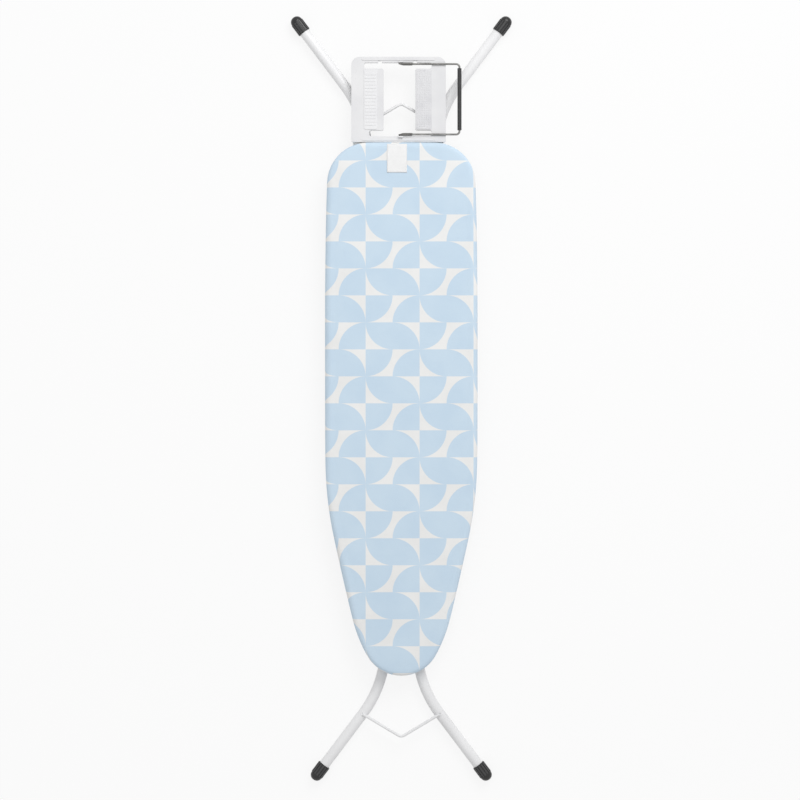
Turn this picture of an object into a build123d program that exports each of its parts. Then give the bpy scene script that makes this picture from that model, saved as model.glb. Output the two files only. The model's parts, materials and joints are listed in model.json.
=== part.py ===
from build123d import *
import os
from math import asin, cos, hypot, radians, sin

# Folding ironing board, folded flat and lying on its four foot caps, cover up.
# Millimetres, +Z up, +Y toward the iron rest, -Y toward the nose, scissor pivot above the origin.

# Board outline seen from above, as a chain of lines and tangent arcs
board_width = 315.0
rear_past_hinge = 132.0
nose_past_bar = 176.0
rear_corner_radius = 85.0
side_bow_radius = 12800.0
side_flare = 1.34
shoulder_radius = 740.0
taper_angle = 12.9
flank_radius = 300.0
nose_turn = 29.4
nose_radius = 81.4

# Legs
tube_diameter = 22.0
tube_wall = 1.2
inner_half_spacing = 33.5
outer_half_spacing = 72.0
pivot_reach = 400.0
foot_reach = 797.0
splay_angle = 37.0
splay_radius = 230.0
inner_splay_run = 277.0
outer_splay_run = 281.1
end_bend_angle = 25.0
end_bend_radius = 80.0
end_overhang = 11.0
plug_thickness = 2.0
plug_depth = 3.0
plug_edge_radius = 0.8
fold_angle = 49.0

# Foot caps
cap_diameter = 27.0
cap_length = 39.0
cap_tip_wall = 10.0
cap_tip_radius = 12.0
ridge_count = 14
ridge_width = 4.0
ridge_height = 0.9
ridge_mouth_margin = 1.0
ridge_tip_margin = 13.0

# Chevron braces
brace_diameter = 6.0
brace_bend_radius = 12.0
brace_sink = 2.5
inner_brace_to_foot = 90.0
inner_brace_drop = 48.0
outer_brace_to_foot = 181.0
outer_brace_drop = 46.5

# Scissor pivot
bolt_diameter = 8.0
bolt_head_diameter = 17.0
bolt_head_thickness = 3.0
nut_width = 13.0
nut_thickness = 4.0
spacer_diameter = 19.0

# Fixed hinge of the inner leg and sliding bar of the outer leg
axle_diameter = 10.0
hinge_bush_diameter = 14.0
hinge_bush_proud = 0.6
hinge_bracket_length = 36.0
hinge_bracket_wall = 2.0
bracket_below_bush = 4.0
clip_diameter = 17.0
clip_thickness = 3.0
slide_bar_diameter = 12.0
guide_bush_diameter = 15.0
guide_flange_diameter = 19.0
guide_flange_thickness = 3.5
guide_overhang = 1.5
bar_over_tube = 3.0
bar_cap_diameter = 17.0
bar_cap_thickness = 4.0
bar_cap_wall = 1.5
rail_width = 38.0
rail_wall = 1.5
rail_below_slot = 7.0
rail_end_margin = 22.0

# Deck, padding and cover
deck_thickness = 1.0
deck_clearance = 1.5
hole_diameter = 14.0
hole_pitch_x = 34.0
hole_pitch_y = 30.0
hole_edge_margin = 24.0
spine_half_width = 26.0
rim_height = 14.0
rim_wall = 1.5
rim_lip = 22.5
pad_thickness = 5.0
pad_edge_radius = 3.5
cover_thickness = 1.5
cover_edge_radius = 5.0
hem_width = 24.0
rib_wall = 1.5
rib_height = 8.0
rib_length = 24.0
rib_edge_margin = 8.0
nose_rib_past_bar = 58.0
mid_rib_y = 62.0
hip_rib_y = 252.0
rear_rib_past_bracket = 2.5
rear_rib_length = 50.0
rear_rib_half_width = 112.0

# Saddles that hold the folded outer leg
leg_clip_y = 150.0
leg_clip_length = 18.0
leg_clip_wall = 3.0
leg_clip_stem = 10.0

# Iron rest
rest_left_x = -104.0
rest_right_x = 92.5
rest_length = 177.2
rest_gap_to_cover = 1.7
rest_depth = 11.0
rest_plate = 2.5
rest_wall = 2.0
rest_opening_wall = 1.5
rest_rear_corner = 17.0
rest_front_corner = 4.0
rest_rail_width = 12.0
rest_slot_width = 12.5
rest_left_strip = 26.6
rest_right_strip = 29.2
rest_left_tongue = 40.5
rest_right_tongue = 34.3
rest_opening_corner = 4.0
rest_slot_plug = 11.0
rest_left_notch = 33.2
rest_right_notch = 34.3
rest_notch_width = 8.0
rest_notch_depth = 4.0
bead_width = 5.0
bead_height = 1.0
bead_end_margin = 22.0
mat_margin = 2.0
mat_thickness = 1.2
mat_corner = 3.0
ribbed_mat_width = 27.0
mat_rib_pitch = 7.0
mat_rib_width = 3.6
mat_rib_height = 0.6
arm_width = 20.0
arm_thickness = 3.0
arm_gap_to_hem = 1.5
left_arm_x = -90.5
right_arm_x = 78.0
arm_end_margin = 18.0
rivet_diameter = 5.0
rivet_head_diameter = 10.0
rivet_head_thickness = 2.0
rivet_inset = 14.0
screw_diameter = 4.0
screw_head_diameter = 8.0
screw_head_thickness = 2.4
screw_length = 8.0
boss_wall = 2.5
screw_margin = 24.0

# Bail of the iron rest
bail_wire_diameter = 4.0
bail_reach_x = 121.0
bail_bend_radius = 7.0
bail_pivot_x = -1.0
bail_over_plate = 0.4
ferrule_diameter = 6.0
ferrule_tail = 4.8
ferrule_length = 29.0
ferrule_seat = 18.0
ferrule_gap = 0.4
ferrule_tip_radius = 1.2
ferrule_tip_thickness = 3.0
ferrule_flat_length = 10.0
bail_pin_diameter = 3.0
lug_thickness = 3.0
lug_width = 10.0
lug_over_pin = 3.5
grip_diameter = 8.5
grip_length = 129.0
grip_end_radius = 1.0

# Height latch: a rod with teeth that drop in front of the sliding bar
height_steps = 4
lowest_angle = 34.0
latch_rod_diameter = 6.0
latch_gap_to_rail = 5.0
latch_under_deck = 6.5
tooth_thickness = 4.0
tooth_reach = 20.0
tooth_depth = 5.0
tooth_hook = 5.0
tooth_over_bar = 0.9
tooth_gap = 0.4
bearing_thickness = 3.0
bearing_half_width = 5.5
bearing_below_rod = 2.0
bearing_past_tooth = 8.0
bearing_past_bar = 24.0
latch_tail = 58.0
latch_arm_width = 10.0
latch_arm_thickness = 3.0
latch_arm_length = 73.0
latch_hub_wall = 2.2
handle_length = 40.0
handle_width = 32.0
handle_below_arm = 6.75
handle_above_arm = 2.25
handle_corner_radius = 6.0
handle_edge_radius = 3.0
handle_overlap = 18.0

# Fits
press_gap = 0.05
pin_gap = 0.08
running_gap = 0.3
soft_gap = 0.3
level_tolerance = 0.01

# Places and heights worked out from the sizes above
rear_y = pivot_reach + rear_past_hinge
nose_y = -pivot_reach - nose_past_bar
nose_rib_y = -pivot_reach - nose_rib_past_bar
rear_rib_y = pivot_reach + hinge_bracket_length / 2 + rear_rib_past_bracket + rear_rib_length / 2
tube_radius = tube_diameter / 2
leg_z = cap_diameter / 2
hinge_lift = tube_radius + slide_bar_diameter / 2 + bar_over_tube
pivot_z = leg_z + hinge_lift
end_sweep = hypot(end_overhang + plug_thickness, tube_radius)
deck_z = pivot_z + end_sweep + deck_clearance
deck_top = deck_z + deck_thickness
pad_bottom = deck_top + soft_gap
pad_top = pad_bottom + pad_thickness
cover_top = pad_top + soft_gap + cover_thickness
rim_bottom = deck_z - rim_height
hem_top = rim_bottom - soft_gap
hem_bottom = hem_top - cover_thickness
arm_top = hem_bottom - arm_gap_to_hem
arm_bottom = arm_top - arm_thickness
rest_top = arm_top + rest_depth
rim_inset = cover_thickness + soft_gap
half_width = board_width / 2


def bar_y(angle):
    # place of the sliding bar along the rail when the inner leg stands at this angle
    turn = radians(angle)
    return pivot_reach - 2 * pivot_reach * cos(turn) + 2 * hinge_lift * sin(turn)


def along_x(radius, start, end, y, z):
    return Pos((start + end) / 2, y, z) * Rot(0, 90, 0) * Cylinder(radius, abs(end - start))


def along_y(radius, start, end, x, z):
    return Pos(x, (start + end) / 2, z) * Rot(90, 0, 0) * Cylinder(radius, abs(end - start))


def along_z(radius, start, end, x, y):
    return Pos(x, y, (start + end) / 2) * Cylinder(radius, abs(end - start))


def block(x_range, y_range, z_range):
    size = [end - start for start, end in (x_range, y_range, z_range)]
    middle = [(end + start) / 2 for start, end in (x_range, y_range, z_range)]
    return Pos(*middle) * Box(*size)


def rod(path, radius):
    start = Plane(origin=path @ 0, z_dir=path % 0)
    return sweep(start * Circle(radius), path=path)


def unit(angle):
    return Vector(cos(radians(angle)), sin(radians(angle)))


def half_outline(inset):
    # right half of the outline, rear to nose; arcs lose the inset and lines keep their length
    flare, taper, turn = (radians(angle) for angle in (side_flare, taper_angle, nose_turn))
    rear_flat = half_width - side_bow_radius * (1 - cos(flare)) - rear_corner_radius * cos(flare)
    taper_width = half_width - shoulder_radius * (1 - cos(taper))
    nose_width = flank_radius * (cos(taper) - cos(turn)) + nose_radius * cos(turn)
    taper_length = (taper_width - nose_width) / sin(taper)
    curved = rear_corner_radius * (1 - sin(flare)) + side_bow_radius * sin(flare)
    curved += shoulder_radius * sin(taper) + taper_length * cos(taper)
    curved += flank_radius * (sin(turn) - sin(taper)) + nose_radius * (1 - sin(turn))
    side_length = rear_y - nose_y - curved
    chain = [
        ("line", rear_flat),
        ("arc", rear_corner_radius, 90, side_flare),
        ("arc", side_bow_radius, side_flare, 0),
        ("line", side_length),
        ("arc", shoulder_radius, 0, -taper_angle),
        ("line", taper_length),
        ("arc", flank_radius, -taper_angle, -nose_turn),
        ("arc", nose_radius, -nose_turn, -90),
    ]
    edges = []
    here = Vector(0, rear_y - inset)
    facing = 90
    for kind, size, *turns in chain:
        if kind == "line":
            there = here + Vector(sin(radians(facing)), -cos(radians(facing))) * size
            edges.append(Line(here, there))
        else:
            centre = here - unit(turns[0]) * (size - inset)
            middle = centre + unit((turns[0] + turns[1]) / 2) * (size - inset)
            there = centre + unit(turns[1]) * (size - inset)
            edges.append(ThreePointArc(here, middle, there))
            facing = turns[1]
        here = there
    return edges


def outline(inset):
    right = half_outline(inset)
    left = [mirror(edge, about=Plane.YZ) for edge in right]
    return make_face(right + left)


def slab(inset, bottom, top):
    return extrude(Pos(0, 0, bottom) * outline(inset), amount=top - bottom)


def edges_at(solid, z):
    return [edge for edge in solid.edges() if abs(edge.center().Z - z) < level_tolerance]


# Deck, rim and ribs

def deck_plate():
    room = outline(rim_inset + hole_edge_margin).face()
    column_count = int(half_width / hole_pitch_x) + 1
    row_count = int((rear_y - nose_y) / hole_pitch_y)
    holes = []
    for row in range(row_count):
        y = rear_y - hole_edge_margin - row * hole_pitch_y
        shift = hole_pitch_x / 2 if row % 2 else 0
        for column in range(-column_count, column_count + 1):
            x = column * hole_pitch_x + shift
            if abs(x) > spine_half_width and room.is_inside(Vector(x, y)):
                holes.append(Wire.make_circle(hole_diameter / 2, Plane((x, y, 0))))
    sheet = Face(outline(rim_inset).face().outer_wire(), holes)
    return extrude(Pos(0, 0, deck_z) * sheet, amount=deck_thickness, dir=(0, 0, 1))


def deck_rim():
    lip_top = rim_bottom + rim_wall
    hollow = slab(rim_inset + rim_wall, lip_top, deck_z)
    mouth = slab(rim_inset + rim_lip, rim_bottom, lip_top)
    return slab(rim_inset, rim_bottom, deck_z) - hollow - mouth


def half_width_at(y, inset):
    # half the outline's width at this place along the board
    probe = Edge.make_line((0, y, 0), (board_width, y, 0))
    inside = probe.intersect(outline(inset))
    return max(vertex.X for vertex in inside.vertices())


def cross_rib(y, half_length, length, height):
    ends = (-half_length, half_length)
    inner_ends = (-half_length + rib_wall, half_length - rib_wall)
    front, back = y - length / 2, y + length / 2
    shell = block(ends, (front, back), (deck_z - height, deck_z))
    hollow = block(inner_ends, (front + rib_wall, back - rib_wall), (deck_z - height + rib_wall, deck_z))
    return shell - hollow


def shallow_rib(y):
    narrow_end = min(half_width_at(y + side * rib_length / 2, rim_inset + rim_lip) for side in (-1, 1))
    return cross_rib(y, narrow_end - rib_edge_margin, rib_length, rib_height)


def rear_rib():
    rib = cross_rib(rear_rib_y, rear_rib_half_width, rear_rib_length, deck_z - arm_top)
    for x, y in arm_rivet_places():
        rib -= along_z(rivet_diameter / 2 + press_gap, arm_bottom, deck_z, x, y)
    return rib


def foam_pad():
    pad = slab(rim_inset, pad_bottom, pad_top)
    return fillet(edges_at(pad, pad_top), pad_edge_radius)


def fabric_cover():
    outside = slab(0, hem_bottom, cover_top)
    outside = fillet(edges_at(outside, cover_top), cover_edge_radius)
    inside = slab(cover_thickness, hem_top, cover_top - cover_thickness)
    inside = fillet(edges_at(inside, cover_top - cover_thickness), cover_edge_radius - cover_thickness)
    return outside - inside - slab(hem_width, hem_bottom, hem_top)


# Rail, hinge bracket and leg saddles

def slide_rail():
    front = bar_y(0) - rail_end_margin
    back = bar_y(fold_angle) + rail_end_margin
    slot_half = guide_bush_diameter / 2 + running_gap
    bottom = pivot_z - slot_half - rail_below_slot
    half = rail_width / 2
    shell = block((-half, half), (front, back), (bottom, deck_z))
    shell -= block((rail_wall - half, half - rail_wall), (front, back), (bottom, deck_z - rail_wall))
    slot_length = bar_y(fold_angle) - bar_y(0) + 2 * slot_half
    slot_middle = (bar_y(fold_angle) + bar_y(0)) / 2
    slot = Plane((-half, slot_middle, pivot_z), x_dir=(0, 1, 0), z_dir=(1, 0, 0))
    return shell - extrude(slot * SlotOverall(slot_length, 2 * slot_half), amount=rail_width)


def hinge_bracket():
    half = rail_width / 2
    length = (pivot_reach - hinge_bracket_length / 2, pivot_reach + hinge_bracket_length / 2)
    bottom = pivot_z - hinge_bush_diameter / 2 - bracket_below_bush
    shell = block((-half, half), length, (bottom, deck_z))
    inner = (hinge_bracket_wall - half, half - hinge_bracket_wall)
    shell -= block(inner, length, (bottom, deck_z - hinge_bracket_wall))
    lower_corners = ShapeList(edges_at(shell, bottom)).filter_by(Axis.X)
    shell = fillet(lower_corners, hinge_bush_diameter / 2)
    return shell - along_x(axle_diameter / 2 + press_gap, -half, half, pivot_reach, pivot_z)


hinge_bush_end = inner_half_spacing + tube_radius + hinge_bush_proud
axle_end = hinge_bush_end + running_gap + clip_thickness


def hinge_axle():
    return along_x(axle_diameter / 2, -axle_end, axle_end, pivot_reach, pivot_z)


def axle_clips():
    clips = []
    for side in (-1, 1):
        start = side * (axle_end - clip_thickness)
        clip = along_x(clip_diameter / 2, start, side * axle_end, pivot_reach, pivot_z)
        hole = along_x(axle_diameter / 2 + press_gap, start, side * axle_end, pivot_reach, pivot_z)
        clips.append(clip - hole)
    return clips


def leg_clip(side):
    x = side * outer_half_spacing
    ends = (leg_clip_y - leg_clip_length / 2, leg_clip_y + leg_clip_length / 2)
    outer = tube_radius + running_gap + leg_clip_wall
    ring = along_y(outer, *ends, x, leg_z)
    ring -= block((x - outer, x + outer), ends, (leg_z - outer, leg_z))
    stem_half = leg_clip_stem / 2
    ring += block((x - stem_half, x + stem_half), ends, (leg_z + tube_radius, deck_z))
    return ring - along_y(tube_radius + running_gap, *ends, x, leg_z)


# Leg tubes and what is fixed to them

class Leg:
    # toward is +1 for feet at the iron rest end, -1 for feet at the nose end
    def __init__(self, half_spacing, splay_run, toward):
        self.half_spacing = half_spacing
        self.splay_start = foot_reach - splay_run
        self.toward = toward
        self.axle_y = -toward * pivot_reach

    def place(self, side, across, along, up):
        return Vector(side * across, self.toward * along, up)

    def foot_direction(self, side):
        turn = radians(splay_angle)
        return Vector(side * sin(turn), self.toward * cos(turn), 0)

    def foot_tip(self, side):
        turn = radians(splay_angle)
        straight = (foot_reach - self.splay_start - splay_radius * sin(turn)) / cos(turn)
        across = self.half_spacing + splay_radius * (1 - cos(turn)) + straight * sin(turn)
        return self.place(side, across, foot_reach, leg_z)

    def top_direction(self):
        turn = radians(end_bend_angle)
        return Vector(0, -self.toward * cos(turn), sin(turn))

    def top_end(self, side):
        axle = Vector(side * self.half_spacing, self.axle_y, pivot_z)
        return axle + self.top_direction() * end_overhang

    def path(self, side):
        # raised top end, bend, straight run, splay bend, run to the foot
        bend = radians(end_bend_angle)
        raised = (hinge_lift - end_bend_radius * (1 - cos(bend))) / sin(bend)
        level_start = -pivot_reach + raised * cos(bend) + end_bend_radius * sin(bend)

        def bend_point(turn):
            along = level_start - end_bend_radius * sin(turn)
            return self.place(side, self.half_spacing, along, leg_z + end_bend_radius * (1 - cos(turn)))

        def splay_point(turn):
            across = self.half_spacing + splay_radius * (1 - cos(turn))
            return self.place(side, across, self.splay_start + splay_radius * sin(turn), leg_z)

        splay = radians(splay_angle)
        tube_end = self.foot_tip(side) - self.foot_direction(side) * cap_tip_wall
        return Wire([
            Edge.make_line(self.top_end(side), bend_point(bend)),
            Edge.make_three_point_arc(bend_point(bend), bend_point(bend / 2), bend_point(0)),
            Edge.make_line(bend_point(0), splay_point(0)),
            Edge.make_three_point_arc(splay_point(0), splay_point(splay / 2), splay_point(splay)),
            Edge.make_line(splay_point(splay), tube_end),
        ])

    def tube(self, side, axle_hole, bolt_hole):
        path = self.path(side)
        tube = rod(path, tube_radius) - rod(path, tube_radius - tube_wall)
        ends = (side * (self.half_spacing - tube_diameter), side * (self.half_spacing + tube_diameter))
        tube -= along_x(axle_hole / 2, *ends, self.axle_y, pivot_z)
        return tube - along_x(bolt_hole / 2, *ends, 0, leg_z)

    def brace(self, to_foot, drop):
        # chevron rod laid over both tubes, saddled where it is welded
        apex = foot_reach - to_foot
        z = leg_z + tube_radius + brace_diameter / 2 - brace_sink
        foot = apex - drop
        across = self.half_spacing + splay_offset(foot - self.splay_start)
        left, right = self.place(-1, across, foot, z), self.place(1, across, foot, z)
        points = [left, self.place(1, 0, apex, z), right]
        brace = rod(FilletPolyline(*points, radius=brace_bend_radius), brace_diameter / 2)
        for side in (-1, 1):
            brace -= rod(self.path(side), tube_radius + press_gap)
        return brace

    def cap(self, side):
        outer = cap_diameter / 2
        core = outer - ridge_height
        at_tip = (Align.CENTER, Align.CENTER, Align.MAX)
        cap = Cylinder(core, cap_length, align=at_tip)
        cap = fillet(edges_at(cap, 0), cap_tip_radius)
        ridge_length = cap_length - ridge_mouth_margin - ridge_tip_margin
        for place in PolarLocations(outer - ridge_height, ridge_count):
            ridge = Box(ridge_height * 2, ridge_width, ridge_length, align=at_tip)
            cap += place * Pos(0, 0, -ridge_tip_margin) * ridge
        bore = Cylinder(tube_radius + press_gap, cap_length - cap_tip_wall, align=at_tip)
        cap -= Pos(0, 0, -cap_tip_wall) * bore
        return Plane(self.foot_tip(side), x_dir=(0, 0, 1), z_dir=self.foot_direction(side)) * cap

    def plugs(self):
        plugs = []
        for side in (-1, 1):
            at_bottom = (Align.CENTER, Align.CENTER, Align.MIN)
            disc = Cylinder(tube_radius, plug_thickness, align=at_bottom)
            disc = fillet(edges_at(disc, plug_thickness), plug_edge_radius)
            at_top = (Align.CENTER, Align.CENTER, Align.MAX)
            disc += Cylinder(tube_radius - tube_wall - press_gap, plug_depth, align=at_top)
            plugs.append(Plane(self.top_end(side), x_dir=(1, 0, 0), z_dir=self.top_direction()) * disc)
        return plugs


def splay_offset(past_start):
    # how far a tube has moved outward at this distance past the start of its splay bend
    turn = radians(splay_angle)
    bend_run = splay_radius * sin(turn)
    if past_start <= bend_run:
        return splay_radius * (1 - cos(asin(past_start / splay_radius)))
    return splay_radius * (1 - cos(turn)) + (past_start - bend_run) * sin(turn) / cos(turn)


inner_leg = Leg(inner_half_spacing, inner_splay_run, -1)
outer_leg = Leg(outer_half_spacing, outer_splay_run, 1)


def hinge_bushes():
    bushes = []
    start = rail_width / 2 + running_gap
    for side in (-1, 1):
        place = (side * start, side * hinge_bush_end, pivot_reach, pivot_z)
        bush = along_x(hinge_bush_diameter / 2, *place)
        bushes.append(bush - along_x(axle_diameter / 2 + pin_gap, *place))
    return bushes


def pivot_bolts():
    bolts = []
    head_start = outer_half_spacing + tube_radius + running_gap
    for side in (-1, 1):
        tip = side * (inner_half_spacing - tube_radius - press_gap - nut_thickness)
        head = side * head_start
        shank = along_x(bolt_diameter / 2, tip, head, 0, leg_z)
        head_end = side * (head_start + bolt_head_thickness)
        bolts.append(shank + along_x(bolt_head_diameter / 2, head, head_end, 0, leg_z))
    return bolts


def pivot_spacers():
    spacers = []
    start = inner_half_spacing + tube_radius + press_gap
    end = outer_half_spacing - tube_radius - running_gap
    for side in (-1, 1):
        place = (side * start, side * end, 0, leg_z)
        spacer = along_x(spacer_diameter / 2, *place)
        spacers.append(spacer - along_x(bolt_diameter / 2 + press_gap, *place))
    return spacers


def pivot_nuts():
    nuts = []
    for side in (-1, 1):
        seat = side * (inner_half_spacing - tube_radius - press_gap)
        face = Plane((seat, 0, leg_z), x_dir=(0, 1, 0), z_dir=(-side, 0, 0))
        shape = RegularPolygon(nut_width / 2, 6, major_radius=False) - Circle(bolt_diameter / 2 + press_gap)
        nuts.append(extrude(face * shape, amount=nut_thickness))
    return nuts


bar_end = outer_half_spacing + tube_radius + press_gap + bar_cap_thickness


def slide_bar():
    reach = bar_end - bar_cap_wall
    return along_x(slide_bar_diameter / 2, -reach, reach, outer_leg.axle_y, pivot_z)


def slide_bar_caps():
    caps = []
    bar = slide_bar_diameter / 2 + press_gap
    for side in (-1, 1):
        start = side * (bar_end - bar_cap_thickness)
        cap = along_x(bar_cap_diameter / 2, start, side * bar_end, outer_leg.axle_y, pivot_z)
        caps.append(cap - along_x(bar, start, side * (bar_end - bar_cap_wall), outer_leg.axle_y, pivot_z))
    return caps


def guide_bushes():
    bushes = []
    wall_inside = rail_width / 2 - rail_wall
    flange_end = wall_inside - running_gap
    flange_start = flange_end - guide_flange_thickness
    sleeve_end = rail_width / 2 + guide_overhang
    at_bar = (outer_leg.axle_y, pivot_z)
    for side in (-1, 1):
        flange = along_x(guide_flange_diameter / 2, side * flange_start, side * flange_end, *at_bar)
        sleeve = along_x(guide_bush_diameter / 2, side * flange_end, side * sleeve_end, *at_bar)
        bore = slide_bar_diameter / 2 + press_gap
        bushes.append(flange + sleeve - along_x(bore, side * flange_start, side * sleeve_end, *at_bar))
    return bushes


# Iron rest

rest_front_y = rear_y + rest_gap_to_cover
rest_rear_y = rest_front_y + rest_length
rest_slot_rear = (rest_rear_y - rest_rail_width - rest_slot_width, rest_rear_y - rest_rail_width)
rest_slot_front = (rest_front_y + rest_rail_width, rest_front_y + rest_rail_width + rest_slot_width)
rest_slot_x = (rest_left_x + rest_left_strip, rest_right_x - rest_right_strip)
rest_middle_x = (rest_slot_x[0] + rest_left_tongue, rest_slot_x[1] - rest_right_tongue)
rest_tongue_y = (rest_slot_front[1], rest_slot_rear[0])


def flat_box(x_range, y_range):
    width, depth = x_range[1] - x_range[0], y_range[1] - y_range[0]
    return Pos((x_range[0] + x_range[1]) / 2, (y_range[0] + y_range[1]) / 2) * Rectangle(width, depth)


def lift(sketch, bottom, top):
    return extrude(Pos(0, 0, bottom) * sketch, amount=top - bottom, dir=(0, 0, 1))


def rest_outline():
    sheet = flat_box((rest_left_x, rest_right_x), (rest_front_y, rest_rear_y))
    rows = sheet.vertices().group_by(Axis.Y)
    sheet = fillet(rows[-1], rest_rear_corner)
    front = sheet.vertices().group_by(Axis.Y)[0]
    return fillet(front, rest_front_corner)


def rest_opening():
    opening = flat_box(rest_slot_x, rest_slot_rear)
    opening += flat_box((rest_slot_x[0] + rest_slot_plug, rest_slot_x[1]), rest_slot_front)
    opening += flat_box(rest_middle_x, (rest_slot_front[0], rest_slot_rear[1]))
    opening = fillet(opening.vertices(), rest_opening_corner)
    for x in (rest_slot_x[0] + rest_left_notch, rest_slot_x[1] - rest_right_notch):
        notch_x = (x - rest_notch_width / 2, x + rest_notch_width / 2)
        opening += flat_box(notch_x, (rest_slot_rear[0], rest_slot_rear[1] + rest_notch_depth))
    return opening


def tray_screw_places():
    ys = (rest_front_y + screw_margin, rest_rear_y - screw_margin)
    return [(x, y) for x in (left_arm_x, right_arm_x) for y in ys]


def arm_rivet_places():
    ys = (rear_rib_y - rivet_inset, rear_rib_y + rivet_inset)
    return [(x, y) for x in (left_arm_x, right_arm_x) for y in ys]


bail_z = rest_top + bail_over_plate + bail_wire_diameter / 2
bail_rear_y = rest_slot_rear[1] - ferrule_gap - ferrule_diameter / 2
bail_front_y = rest_slot_front[0] + ferrule_gap + ferrule_diameter / 2


def bail_sides():
    # place of each arm along the board and the direction from it to the nearest rail
    return ((bail_front_y, -1), (bail_rear_y, 1))


def lug_range(y, outward):
    start = y + outward * (ferrule_diameter / 2 + running_gap)
    return sorted((start, start + outward * lug_thickness))


def iron_rest_tray():
    sheet = rest_outline()
    opening = rest_opening()
    tray = lift(sheet, arm_top, rest_top) - lift(opening, arm_top, rest_top)
    pocket = offset(sheet, -rest_wall) - offset(opening, rest_opening_wall)
    tray -= lift(pocket, arm_top, rest_top - rest_plate)
    for x, y in tray_screw_places():
        tray += along_z(screw_diameter / 2 + boss_wall, arm_top, rest_top - rest_plate, x, y)
        tray -= along_z(screw_diameter / 2 + press_gap, arm_top, arm_top + screw_length, x, y)
    bead_length = rest_right_x - rest_left_x - 2 * bead_end_margin
    bead_x = (rest_left_x + rest_right_x) / 2
    for y, outward in bail_sides():
        rail_edge = rest_rear_y if outward > 0 else rest_front_y
        bead_y = rail_edge - outward * bead_width
        bead = Pos(bead_x, bead_y) * SlotOverall(bead_length, bead_width)
        tray += lift(bead, rest_top, rest_top + bead_height)
        lug_x = (bail_pivot_x - lug_width / 2, bail_pivot_x + lug_width / 2)
        tray += block(lug_x, lug_range(y, outward), (rest_top, bail_z + lug_over_pin))
        tray -= along_y(bail_pin_diameter / 2 + press_gap, *lug_range(y, outward), bail_pivot_x, bail_z)
    return tray


def ribbed_mat():
    xs = (rest_slot_x[0], rest_slot_x[0] + ribbed_mat_width)
    ys = (rest_tongue_y[0] + mat_margin, rest_tongue_y[1] - mat_margin)
    sheet = flat_box(xs, ys)
    mat = lift(fillet(sheet.vertices(), mat_corner), rest_top, rest_top + mat_thickness)
    count = int((ys[1] - ys[0] - 2 * mat_corner) / mat_rib_pitch)
    middle = (ys[0] + ys[1]) / 2
    for index in range(count):
        y = middle + (index - (count - 1) / 2) * mat_rib_pitch
        rib = Pos((xs[0] + xs[1]) / 2, y) * SlotOverall(ribbed_mat_width - mat_rib_width, mat_rib_width)
        mat += lift(rib, rest_top + mat_thickness, rest_top + mat_thickness + mat_rib_height)
    return mat


def dotted_mat():
    xs = (rest_middle_x[1] + mat_margin, rest_slot_x[1])
    ys = (rest_tongue_y[0] + mat_margin, rest_tongue_y[1] - mat_margin)
    sheet = flat_box(xs, ys)
    return lift(fillet(sheet.vertices(), mat_corner), rest_top, rest_top + mat_thickness)


def rest_arm(x):
    half = arm_width / 2
    arm_end = rest_rear_y - arm_end_margin
    arm = block((x - half, x + half), (rear_rib_y - rear_rib_length / 2, arm_end), (arm_bottom, arm_top))
    for hole_x, y in tray_screw_places():
        arm -= along_z(screw_diameter / 2 + press_gap, arm_bottom, arm_top, hole_x, y)
    for hole_x, y in arm_rivet_places():
        arm -= along_z(rivet_diameter / 2 + press_gap, arm_bottom, arm_top, hole_x, y)
    return arm


def arm_rivets():
    rivets = []
    inside = arm_top + rib_wall
    for x, y in arm_rivet_places():
        rivet = along_z(rivet_diameter / 2, arm_bottom, inside, x, y)
        rivet += along_z(rivet_head_diameter / 2, arm_bottom - rivet_head_thickness, arm_bottom, x, y)
        rivet += along_z(rivet_head_diameter / 2, inside, inside + rivet_head_thickness, x, y)
        rivets.append(rivet)
    return rivets


def tray_screws():
    screws = []
    for x, y in tray_screw_places():
        shank = along_z(screw_diameter / 2, arm_bottom, arm_top + screw_length, x, y)
        head = along_z(screw_head_diameter / 2, arm_bottom - screw_head_thickness, arm_bottom, x, y)
        screws.append(shank + head)
    return screws


def bail_pins():
    pins = []
    thinnest = ferrule_thickness(bail_pivot_x - bail_pin_diameter / 2)
    for y, outward in bail_sides():
        tip = y + outward * (ferrule_diameter / 2 - thinnest)
        ends = sorted((tip, y + outward * (ferrule_diameter / 2 + running_gap + lug_thickness)))
        pins.append(along_y(bail_pin_diameter / 2, *ends, bail_pivot_x, bail_z))
    return pins


ferrule_start = bail_pivot_x - ferrule_tail
ferrule_end = ferrule_start + ferrule_length
wire_start = ferrule_end - ferrule_seat


def ferrule_thickness(x):
    # full sleeve, thinned on its inner side by a flat that falls to the tip
    fall = (ferrule_diameter - ferrule_tip_thickness) / ferrule_flat_length
    return min(ferrule_diameter, ferrule_tip_thickness + fall * (x - ferrule_start))


def ferrule_cut(y, outward):
    # wedge between that flat and the inner side, carried past both ends of the flat
    inner = y - outward * ferrule_diameter / 2
    fall = outward * (ferrule_diameter - ferrule_tip_thickness)
    past = ferrule_tip_radius / ferrule_flat_length
    tip_x, tip_y = ferrule_start - past * ferrule_flat_length, inner + fall * (1 + past)
    end_x, end_y = ferrule_start + (1 + past) * ferrule_flat_length, inner - fall * past
    wedge = make_face(Polyline((tip_x, tip_y), (end_x, end_y), (tip_x, end_y), close=True))
    return lift(wedge, bail_z - ferrule_diameter / 2, bail_z + ferrule_diameter / 2)


def bail_wire():
    corners = [
        (wire_start, bail_front_y, bail_z),
        (bail_reach_x, bail_front_y, bail_z),
        (bail_reach_x, bail_rear_y, bail_z),
        (wire_start, bail_rear_y, bail_z),
    ]
    return rod(FilletPolyline(*corners, radius=bail_bend_radius), bail_wire_diameter / 2)


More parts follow.
